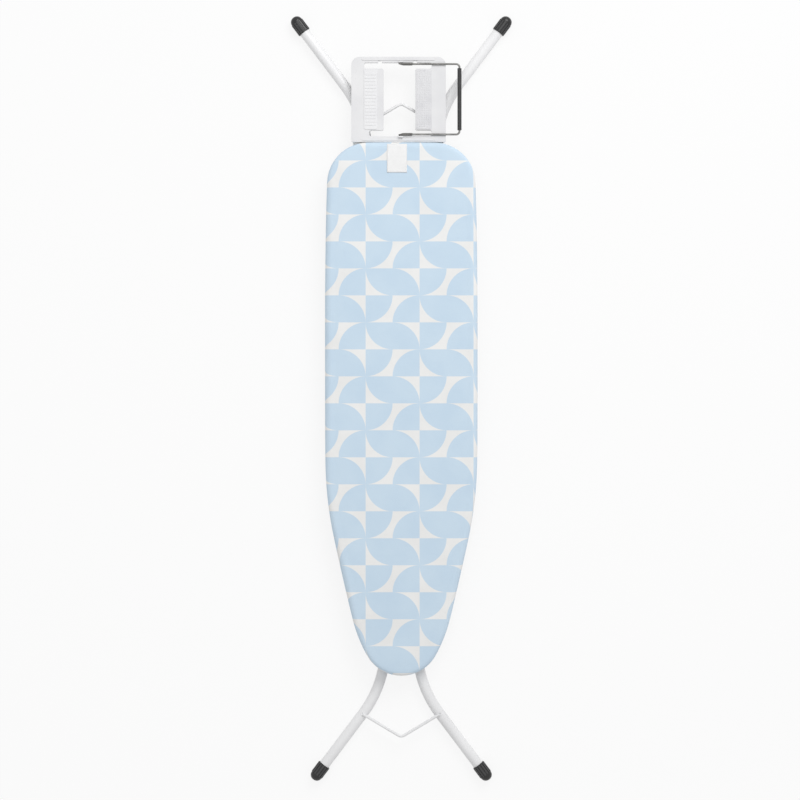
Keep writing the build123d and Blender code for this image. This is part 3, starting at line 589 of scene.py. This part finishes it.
def fanFaces(faces):
    # quads that have shrunk to a triangle at the spine lose their doubled corner, and lines are dropped
    same = faces == np.roll(faces, -1, 1)
    count = same.sum(1)
    quads = faces[count == 0].tolist()
    thin = faces[count == 1]
    keep = ~same[count == 1]
    return quads + thin[keep].reshape(-1, 3).tolist()


def gathers(place, tight, folds, seed):
    # uneven folds: a sine and its overtone, whose phase runs faster where the edge bends, and wanders;
    # wander and swell are sums of slow waves with seeded sizes and starts
    rng = np.random.default_rng(seed)
    turn = place / (place[-1] + place[1]) * 2 * np.pi
    waves = np.arange(3, 40)
    pace, lift = rng.normal(0, 1, (2, len(waves))) / waves ** 0.5
    start = rng.uniform(0, 2 * np.pi, (2, len(waves)))
    wander = np.tanh(0.6 * (np.sin(waves * turn[:, None] + start[0]) * pace).sum(1))
    swell = np.tanh(0.7 * (np.sin(waves * turn[:, None] + start[1]) * lift).sum(1))
    density = (folds[0] + (folds[1] - folds[0]) * tight) * (1 + 0.35 * wander)
    gaps = np.diff(place, append=place[-1] + place[1])
    phase = np.cumsum(density * gaps)
    phase = phase / phase[-1] * np.round(phase[-1]) * 2 * np.pi
    return (np.sin(phase) + 0.3 * np.sin(2 * phase + 0.6)) * (0.7 + 0.3 * swell)


coverCut = {
    "loop": 960, "crowd": 1.8, "spineMargin": 0.118,
    "top": 0.0601, "ripple": 0.00012, "rippleWaves": (31, 23),
    "flatFrom": 0.040, "edgeDrop": 0.0010, "edgeRound": 0.0085, "sideIn": 0.0005,
    "hem": 0.0364, "hemRound": 0.0031, "hemWidth": 0.0236, "fold": 0.0006, "foldBack": 0.009,
    "gather": 0.0011, "sideGather": 0.8, "slack": 0.22, "folds": (40.0, 95.0), "seed": 5,
    "flatRun": 0.004, "flatAfter": 0.02,
    "frames": 20, "quality": 6, "pressure": 1.2, "mass": 0.15, "tension": 12.0, "shear": 4.0, "bend": 0.05,
    "cap": 0.0012, "inward": 0.00015,
}


def coverMesh():
    # rings from the spine out over the top, round the edge, down the side, in under the rim and back over
    # the fold; each has one inset and one height, gathers grow on the way down, and a point's place on the
    # flat cloth is its edge point moved out by the ring's reach
    c = coverCut
    edge, normal, place, tight = boardLoop(c["loop"], c["crowd"])
    spine = spineOf(edge, c["spineMargin"])
    bend = np.linspace(0, np.pi / 2, 10)
    lowEdge = c["top"] - c["edgeDrop"]
    sideTop, sideEnd = lowEdge - c["edgeRound"], c["hem"] + c["hemRound"]
    sides = np.linspace(0, 1, 8)[1:]
    tuck = np.linspace(0, np.pi / 2, 7)[1:]
    under = np.linspace(0, 1, 10)[1:]
    curl = np.linspace(0, np.pi, 6)[1:]
    back = np.linspace(0, 1, 4)[1:]
    inset = np.concatenate([
        c["edgeRound"] * (1 - np.sin(bend)),
        c["sideIn"] * sides,
        c["sideIn"] + c["hemRound"] * (1 - np.cos(tuck)),
        (c["sideIn"] + c["hemRound"]) * (1 - under) + c["hemWidth"] * under,
        c["hemWidth"] + c["fold"] * np.sin(curl),
        c["hemWidth"] - c["foldBack"] * back,
    ])
    height = np.concatenate([
        lowEdge - c["edgeRound"] * (1 - np.cos(bend)),
        sideTop + (sideEnd - sideTop) * sides,
        c["hem"] + c["hemRound"] * (1 - np.sin(tuck)),
        np.full(len(under), c["hem"]),
        c["hem"] + c["fold"] * (1 - np.cos(curl)),
        np.full(len(back), c["hem"] + 2 * c["fold"]),
    ])
    reach = np.concatenate([[0], np.cumsum(np.hypot(np.diff(inset), np.diff(height)))])
    folds = gathers(place, tight, c["folds"], c["seed"]) * (c["slack"] + (1 - c["slack"]) * tight)
    topShare = np.array([1, 0.86, 0.72, 0.58, 0.45, 0.33, 0.22, 0.12, 0.05])
    topInset = np.linspace(c["flatFrom"], c["edgeRound"], 8)[:-1]
    slope = (c["flatFrom"] - topInset) / (c["flatFrom"] - c["edgeRound"])
    rings = [onBoard(edge, normal, spine, c["flatFrom"], c["top"], share) for share in topShare]
    topFall = c["top"] - c["edgeDrop"] * slope ** 2
    rings += [onBoard(edge, normal, spine, i, h, 0) for i, h in zip(topInset, topFall)]
    flats = [ring[:, :2] for ring in rings]
    down = np.clip((lowEdge - height) / (lowEdge - c["hem"]), 0, 1) ** 1.5
    flatWay = np.clip((inset - c["hemRound"]) / c["flatRun"], 0, 1) * (reach > c["flatAfter"])
    for i, h, r, d, f in zip(inset, height, reach, down, flatWay):
        wave = folds * c["gather"] * d
        rings.append(onBoard(edge, normal, spine, i - wave * (1 - f) * c["sideGather"], h - wave * f, 0))
        flats.append(edge + normal * (r - c["edgeRound"]))
    points, flat = np.stack(rings), np.stack(flats)
    topRows = len(topShare) + len(topInset)
    waveX, waveY = c["rippleWaves"]
    slow = np.sin(points[..., 1] * waveY + 1) * np.sin(points[..., 0] * waveX + 2)
    points[:topRows, :, 2] += c["ripple"] * slow[:topRows]
    held = np.zeros(points.shape[:2], bool)
    held[:topRows - 1] = True  # the top lies still, and so does the turned-in hem
    held[-len(curl) - len(back):] = True
    return points, flat, held


def settled(piece, held):
    # cloth run under light pressure: free points move by no more than the cap, and hardly inwards
    c = coverCut
    size = len(piece.data.vertices)
    before, outward, after = np.zeros((3, size * 3), np.float32)
    piece.data.vertices.foreach_get("co", before)
    piece.data.vertices.foreach_get("normal", outward)
    piece.vertex_groups.new(name="held").add(np.nonzero(held)[0].tolist(), 1.0, "REPLACE")
    cloth = piece.modifiers.new("settle", "CLOTH")
    rules = cloth.settings
    rules.quality, rules.mass, rules.bending_stiffness = c["quality"], c["mass"], c["bend"]
    rules.tension_stiffness = rules.compression_stiffness = c["tension"]
    rules.shear_stiffness = c["shear"]
    rules.vertex_group_mass = "held"
    rules.use_pressure, rules.uniform_pressure_force = True, c["pressure"]
    rules.effector_weights.gravity = 0
    cloth.collision_settings.use_collision = False
    scene = bpy.context.scene
    for moment in range(1, c["frames"] + 1):
        scene.frame_set(moment)
    found = piece.evaluated_get(bpy.context.evaluated_depsgraph_get()).to_mesh()
    found.vertices.foreach_get("co", after)
    piece.modifiers.remove(cloth)
    piece.vertex_groups.clear()
    scene.frame_set(1)
    before, outward, after = [values.reshape(-1, 3) for values in (before, outward, after)]
    move = after - before
    sink = np.clip((move * outward).sum(1), None, -c["inward"]) + c["inward"]
    move = move - outward * sink[:, None]
    far = np.linalg.norm(move, axis=1, keepdims=True)
    move = move * np.minimum(1, c["cap"] / np.maximum(far, 1e-9))
    piece.data.vertices.foreach_set("co", (before + move).ravel())
    piece.data.update()
    return far.max()


def withSpine(points, closedRows):
    # rings that lie on the spine share one point for each place along it
    rows, columns = points.shape[:2]
    faces = gridFaces(rows, columns, True)
    index = np.arange(rows * columns)
    for row in closedRows:
        place = np.round(points[row, :, 1], 6)
        _, first, inverse = np.unique(place, return_index=True, return_inverse=True)
        index[row * columns:(row + 1) * columns] = row * columns + first[inverse]
    return index[faces]


def trimmed(faces):
    # which points the faces use, and the faces numbered by those alone
    used, inverse = np.unique(np.concatenate([np.ravel(face) for face in faces]), return_inverse=True)
    sizes = [len(face) for face in faces]
    parts = np.split(inverse, np.cumsum(sizes)[:-1])
    return used, [part.tolist() for part in parts]


points, flat, held = coverMesh()
faces = fanFaces(withSpine(points, [0]))
used, faces = trimmed(faces)
cover = newPiece("coverCloth", points.reshape(-1, 3)[used], faces, coverCotton, "board")
layer = cover.data.uv_layers.new(name="flatCut")
corners = np.zeros(len(cover.data.loops), np.int32)
cover.data.loops.foreach_get("vertex_index", corners)
layer.uv.foreach_set("vector", flat.reshape(-1, 2)[used][corners].astype(np.float32).ravel())
print("cover settled, furthest", round(float(settled(cover, held.ravel()[used])) * 1000, 2), "mm")
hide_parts("fabric_cover")

hemSeam = {"row": -12, "stitch": 0.0030, "gap": 0.0013, "thread": 0.0003, "lead": 0.001}


def seamSpots(ring):
    # even places round one ring of the finished cloth, each stitch turned along it
    ring = np.concatenate([ring, ring[:1]])
    place = np.concatenate([[0], np.cumsum(np.linalg.norm(np.diff(ring[:, :2], axis=0), axis=1))])
    count = int(place[-1] / (hemSeam["stitch"] + hemSeam["gap"]))
    stops = (np.arange(count) + 0.5) / count * place[-1]
    centres = np.stack([np.interp(stops, place, ring[:, axis]) for axis in range(3)], -1)
    lead = (stops + hemSeam["lead"]) % place[-1]
    ahead = np.stack([np.interp(lead, place, ring[:, axis]) for axis in range(2)], -1)
    step = ahead - centres[:, :2]
    return centres - [0, 0, hemSeam["thread"] / 2], np.arctan2(step[:, 1], step[:, 0])


whole = np.zeros((flat.shape[0] * flat.shape[1], 3), np.float32)
final = np.zeros(len(used) * 3, np.float32)
cover.data.vertices.foreach_get("co", final)
whole[used] = final.reshape(-1, 3)
centres, turns = seamSpots(whole.reshape(*flat.shape[:2], 3)[hemSeam["row"]].astype(float))
points = placed(stitchShape(hemSeam["stitch"], hemSeam["thread"], -1), centres, turns)
seam = newPiece("hemStitches", points, stitchFaces(len(turns)), tapeWhite, "board")
print("hem:", len(turns), "stitches")
hemEdge = flat[-1]
onward = np.roll(hemEdge, -1, 0)
cutArea = 0.5 * abs(np.sum(hemEdge[:, 0] * onward[:, 1] - hemEdge[:, 1] * onward[:, 0]))


# foam layer between deck and cover

padLayer = {
    "loop": 480, "bottom": 0.05345, "top": 0.0581, "inset": 0.0034, "round": 0.0042, "flatFrom": 0.030,
    "spineMargin": 0.118,
}


def padMesh():
    # closed slab: bottom from the spine out, a rounded rim, then the top back in to the spine
    p = padLayer
    edge, normal, _, _ = boardLoop(p["loop"])
    spine = spineOf(edge, p["spineMargin"])
    turn = np.linspace(-np.pi / 2, np.pi / 2, 11)
    middle, half = (p["top"] + p["bottom"]) / 2, (p["top"] - p["bottom"]) / 2
    shares = np.array([1, 0.7, 0.4, 0.15])
    rimInset, rimHeight = p["inset"] + p["round"] * (1 - np.cos(turn)), middle + half * np.sin(turn)
    rings = [onBoard(edge, normal, spine, p["flatFrom"], p["bottom"], share) for share in shares]
    rings += [onBoard(edge, normal, spine, i, h, 0) for i, h in zip(rimInset, rimHeight)]
    rings += [onBoard(edge, normal, spine, p["flatFrom"], p["top"], share) for share in shares[::-1]]
    return np.stack(rings)


points = padMesh()
faces = fanFaces(withSpine(points, [0, len(points) - 1])[:, ::-1])
used, faces = trimmed(faces)
pad = newPiece("padLayer", points.reshape(-1, 3)[used], faces, padFoam, "board")
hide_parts("foam_pad")
print("pad:", len(faces), "faces")


# plain sewn tag at the rear edge

sewnTag = {
    "left": -0.0297, "right": 0.0118, "front": 0.4690, "rear": 0.5285, "lift": 0.0003, "thick": 0.0004,
    "curl": 0.00012, "rows": 31, "columns": 22,
    "stitch": 0.0026, "gap": 0.0012, "thread": 0.00026, "proud": 0.6, "margin": 0.0022,
}


def topHeight(y):
    # height of the cover near its rear edge, the same fall and rounding as the cloth has
    c = coverCut
    inset = boardShape["rear"] - y
    slope = np.clip((c["flatFrom"] - inset) / (c["flatFrom"] - c["edgeRound"]), 0, 1)
    drop = c["edgeDrop"] * slope ** 2
    over = np.clip(c["edgeRound"] - inset, 0, None)
    return c["top"] - drop - (c["edgeRound"] - np.sqrt(np.clip(c["edgeRound"] ** 2 - over ** 2, 0, None)))


def tagMesh():
    # flat strip laid on the cover, its free corners a touch higher than its sewn middle
    t = sewnTag
    v, u = np.meshgrid(np.linspace(0, 1, t["rows"]), np.linspace(0, 1, t["columns"]), indexing="ij")
    x = t["left"] + (t["right"] - t["left"]) * u
    y = t["front"] + (t["rear"] - t["front"]) * v
    lift = t["lift"] + t["curl"] * ((2 * u - 1) ** 6 + (2 * v - 1) ** 8)
    return np.stack([x, y, topHeight(y) + lift], -1)


points = tagMesh()
faces = gridFaces(sewnTag["rows"], sewnTag["columns"], False).tolist()
tag = newPiece("sewnTag", points, faces, tapeWhite, "board")
solid = tag.modifiers.new("thickness", "SOLIDIFY")
solid.thickness, solid.offset = sewnTag["thick"], 1.0


def tagSpots(t):
    # places along the four sides of the tag, a margin in from its edge, with the turn of each stitch
    left, right = t["left"] + t["margin"], t["right"] - t["margin"]
    front, rear = t["front"] + t["margin"], t["rear"] - t["margin"]
    pace = t["stitch"] + t["gap"]
    xs = np.arange(left + pace / 2, right, pace)
    ys = np.arange(front + pace / 2, rear, pace)
    spots = np.concatenate([
        np.stack([xs, np.full(len(xs), front)], -1), np.stack([xs, np.full(len(xs), rear)], -1),
        np.stack([np.full(len(ys), left), ys], -1), np.stack([np.full(len(ys), right), ys], -1),
    ])
    turns = np.concatenate([np.zeros(2 * len(xs)), np.full(2 * len(ys), np.pi / 2)])
    heights = topHeight(spots[:, 1]) + t["lift"] + t["thick"] + t["thread"] * t["proud"]
    return np.concatenate([spots, heights[:, None]], -1), turns


centres, turns = tagSpots(sewnTag)
points = placed(stitchShape(sewnTag["stitch"], sewnTag["thread"], 1), centres, turns)
stitches = newPiece("tagStitches", points, stitchFaces(len(turns)), tapeWhite, "board")
print("tag and", len(turns), "stitches")


# raised dots on the pale mat

matDots = {
    "pitch": 0.0037, "radius": 0.0011, "height": 0.0005, "margin": 0.0022, "sink": 0.00002,
    "rings": 4, "sides": 8, "topRise": 0.94,
}


def dotField():
    # domes on a square grid: radius and height follow a quarter sine from the foot to the top
    low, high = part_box("dotted_mat")
    m = matDots
    rises = np.linspace(0, m["topRise"], m["rings"]) * np.pi / 2
    turns = np.linspace(0, 2 * np.pi, m["sides"] + 1)[:-1]
    rise, around = np.meshgrid(rises, turns, indexing="ij")
    shape = np.stack([
        m["radius"] * np.cos(rise) * np.cos(around), m["radius"] * np.cos(rise) * np.sin(around),
        m["height"] * np.sin(rise),
    ], -1).reshape(-1, 3)
    counts = [int((high[k] - low[k] - 2 * m["margin"]) / m["pitch"]) + 1 for k in (0, 1)]
    spread = [(np.arange(n) - (n - 1) / 2) * m["pitch"] for n in counts]
    axes = [(low[k] + high[k]) / 2 + spread[k] for k in (0, 1)]
    x, y = [grid.ravel() for grid in np.meshgrid(*axes)]
    centres = np.stack([x, y, np.full(len(x), high[2] - m["sink"])], -1)
    return placed(shape, centres, np.zeros(len(x))), len(x)


points, count = dotField()
rings, sides = matDots["rings"], matDots["sides"]
lid = np.arange((rings - 1) * sides, rings * sides)[None]
faces = copiedFaces(gridFaces(rings, sides, True), rings * sides, count).tolist()
faces += copiedFaces(lid, rings * sides, count).tolist()
newPiece("matDots", points, faces, matSilicone, "board")
print("mat dots:", count)


# painted welds where the chevron rods meet the leg tubes

legWelds = {
    "rodRadius": 0.003, "tubeRadius": 0.011, "tubeHeight": 0.0135, "clear": 0.0002,
    "bead": 0.0014, "beads": 9, "ripple": 0.14, "run": 0.0065, "steps": 61, "sides": 10,
    "inner": {"across": 0.0803, "along": -0.659, "apex": -0.707, "turn": 37.0},
    "outer": {"across": 0.0783, "along": 0.5695, "apex": 0.616, "turn": 13.5},
}


def weldBead(spot, side):
    # ripple-edged roll along a horseshoe round the rod's end, lying on the curve of the tube
    w = legWelds
    end = np.array([side * spot["across"], spot["along"]])
    rod = end - [0, spot["apex"]]
    rod = rod / np.linalg.norm(rod)
    cross = np.array([-rod[1], rod[0]])
    turn = np.radians(spot["turn"])
    tubeSide = np.array([np.cos(turn), -np.sin(turn) * side * np.sign(spot["along"])])
    t = np.linspace(-1, 1, w["steps"])
    around = w["rodRadius"] + w["clear"]
    bend = np.pi / 2 * around
    reach = t * (w["run"] + bend)
    angle = np.clip(reach / around, -np.pi / 2, np.pi / 2)
    back = np.clip(np.abs(reach) - bend, 0, None)
    path = end + np.outer(around * np.cos(angle) - back, rod) + np.outer(around * np.sin(angle), cross)
    outward = np.outer(np.cos(angle), rod) + np.outer(np.sin(angle), cross)
    off = (path - end) @ tubeSide
    height = w["tubeHeight"] + np.sqrt(w["tubeRadius"] ** 2 - off ** 2)
    ripple = 1 + w["ripple"] * np.sin(t * np.pi * w["beads"])
    size = w["bead"] * ripple * np.sqrt(np.clip(1 - t ** 8, 0.01, 1))
    ring = np.linspace(0, 2 * np.pi, w["sides"] + 1)[:-1]
    flatPart = path[:, None] + outward[:, None] * (size[:, None] * np.cos(ring))[..., None]
    tall = height[:, None] + size[:, None] * np.sin(ring)
    return np.concatenate([flatPart, tall[..., None]], -1)


def weldPiece(name, spot, body):
    # the beads of both sides in one mesh, each a closed roll with a cap at either end
    beads = np.stack([weldBead(spot, side) for side in (-1, 1)])
    rows, columns = beads.shape[1:3]
    grid = gridFaces(rows, columns, True)
    caps = [np.arange(columns)[::-1], np.arange(columns) + (rows - 1) * columns]
    faces = copiedFaces(grid, rows * columns, 2)[:, ::-1].tolist()
    faces += [(cap + shift)[::-1].tolist() for cap in caps for shift in (0, rows * columns)]
    newPiece(name, beads, faces, tubeWhite, body)


weldPiece("innerWelds", legWelds["inner"], "inner_leg")
weldPiece("outerWelds", legWelds["outer"], "outer_leg")
print("welds laid")


# floor, light and camera

studio = {
    "floor": "#F2F2F2", "half": 14.0, "lines": 9, "glow": 0.86, "fade": (1.1, 2.6),
    "white": 0.985, "ambient": 0.63,
    "key": {"place": (1.2, 2.8, 3.0), "size": (2.6, 2.0), "power": 84.0},
    "over": {"place": (-0.4, 0.2, 3.6), "size": (2.2, 2.2), "power": 12.0},
}


def seenWhite(start):  # 1 for what the camera sees, also in metal or through glass
    rays = ("Is Camera Ray", "Is Glossy Ray", "Is Transmission Ray")
    path = [start.make("ShaderNodeLightPath", take=ray) for ray in rays]
    return path[0].larger(path[1]).larger(path[2])


def floorPlane():
    line = np.linspace(-studio["half"], studio["half"], studio["lines"])
    u, v = np.meshgrid(line, line)
    points = np.stack([u, v, np.zeros_like(u)], -1).reshape(-1, 3)
    mesh = bpy.data.meshes.new("studioFloor")
    mesh.from_pydata(points.tolist(), [], gridFaces(len(line), len(line), False).tolist())
    material = bpy.data.materials.new("floorWhite")
    material.use_nodes = True
    material.node_tree.nodes.clear()
    start = Wire(material.node_tree)
    matte = start.make("ShaderNodeBsdfDiffuse", {}, {"Color": tone(studio["floor"])})
    glow = start.make("ShaderNodeEmission", {}, {"Color": (1, 1, 1, 1), "Strength": studio["white"]})
    where = start.make("ShaderNodeTexCoord", take="Object")
    away = start.make("ShaderNodeVectorMath", {"operation": "LENGTH"}, {0: where}, "Value")
    # shadows show near the object, and further off the floor is plain white
    share = away.step(*studio["fade"]) * (1 - studio["glow"]) + studio["glow"]
    mixed = start.make("ShaderNodeMixShader", {}, {0: seenWhite(start) * share, 1: matte, 2: glow})
    start.make("ShaderNodeOutputMaterial", {}, {"Surface": mixed})
    mesh.materials.append(material)
    floor = bpy.data.objects.new("studioFloor", mesh)
    bpy.context.scene.collection.objects.link(floor)
    return floor


floor = floorPlane()
foot = bpy.data.objects.new("footMark", None)  # the floor keeps level with the feet when the legs unfold
bpy.context.scene.collection.objects.link(foot)
foot.parent = frame["bodies"]["inner_leg"]
foot.location = (0, -footDark["inner"][1], 0)
follow = floor.constraints.new("COPY_LOCATION")
follow.target = foot
follow.use_x = follow.use_y = False

world = bpy.data.worlds.new("studioWorld")
bpy.context.scene.world = world
world.use_nodes = True
world.node_tree.nodes.clear()
start = Wire(world.node_tree)
strength = seenWhite(start) * (studio["white"] - studio["ambient"]) + studio["ambient"]
sky = start.make("ShaderNodeBackground", {}, {"Color": (1, 1, 1, 1), "Strength": strength})
start.make("ShaderNodeOutputWorld", {}, {"Surface": sky})


def softbox(name, box):  # a rectangle of light aimed at the origin
    light = bpy.data.lights.new(name, "AREA")
    light.shape = "RECTANGLE"
    light.size, light.size_y = box["size"]
    light.energy = box["power"]
    lamp = bpy.data.objects.new(name, light)
    bpy.context.scene.collection.objects.link(lamp)
    lamp.location = box["place"]
    lamp.rotation_euler = (-Vector(box["place"])).to_track_quat("-Z", "Y").to_euler()
    lamp.visible_camera = False


softbox("keyLight", studio["key"])
softbox("overLight", studio["over"])

photo = {
    "pixel": 0.002075, "frame": 800, "away": 5.5, "plane": 0.060, "middle": (-0.0027, -0.0031),
    "sensor": 36.0,
}
camera = bpy.data.cameras.new("camera")
camera.lens = photo["sensor"] * photo["away"] / (photo["pixel"] * photo["frame"])
camera.sensor_width = photo["sensor"]
eye = bpy.data.objects.new("camera", camera)
bpy.context.scene.collection.objects.link(eye)
eye.location = (*photo["middle"], photo["plane"] + photo["away"])
bpy.context.scene.camera = eye
bpy.context.scene.view_settings.view_transform = "Standard"
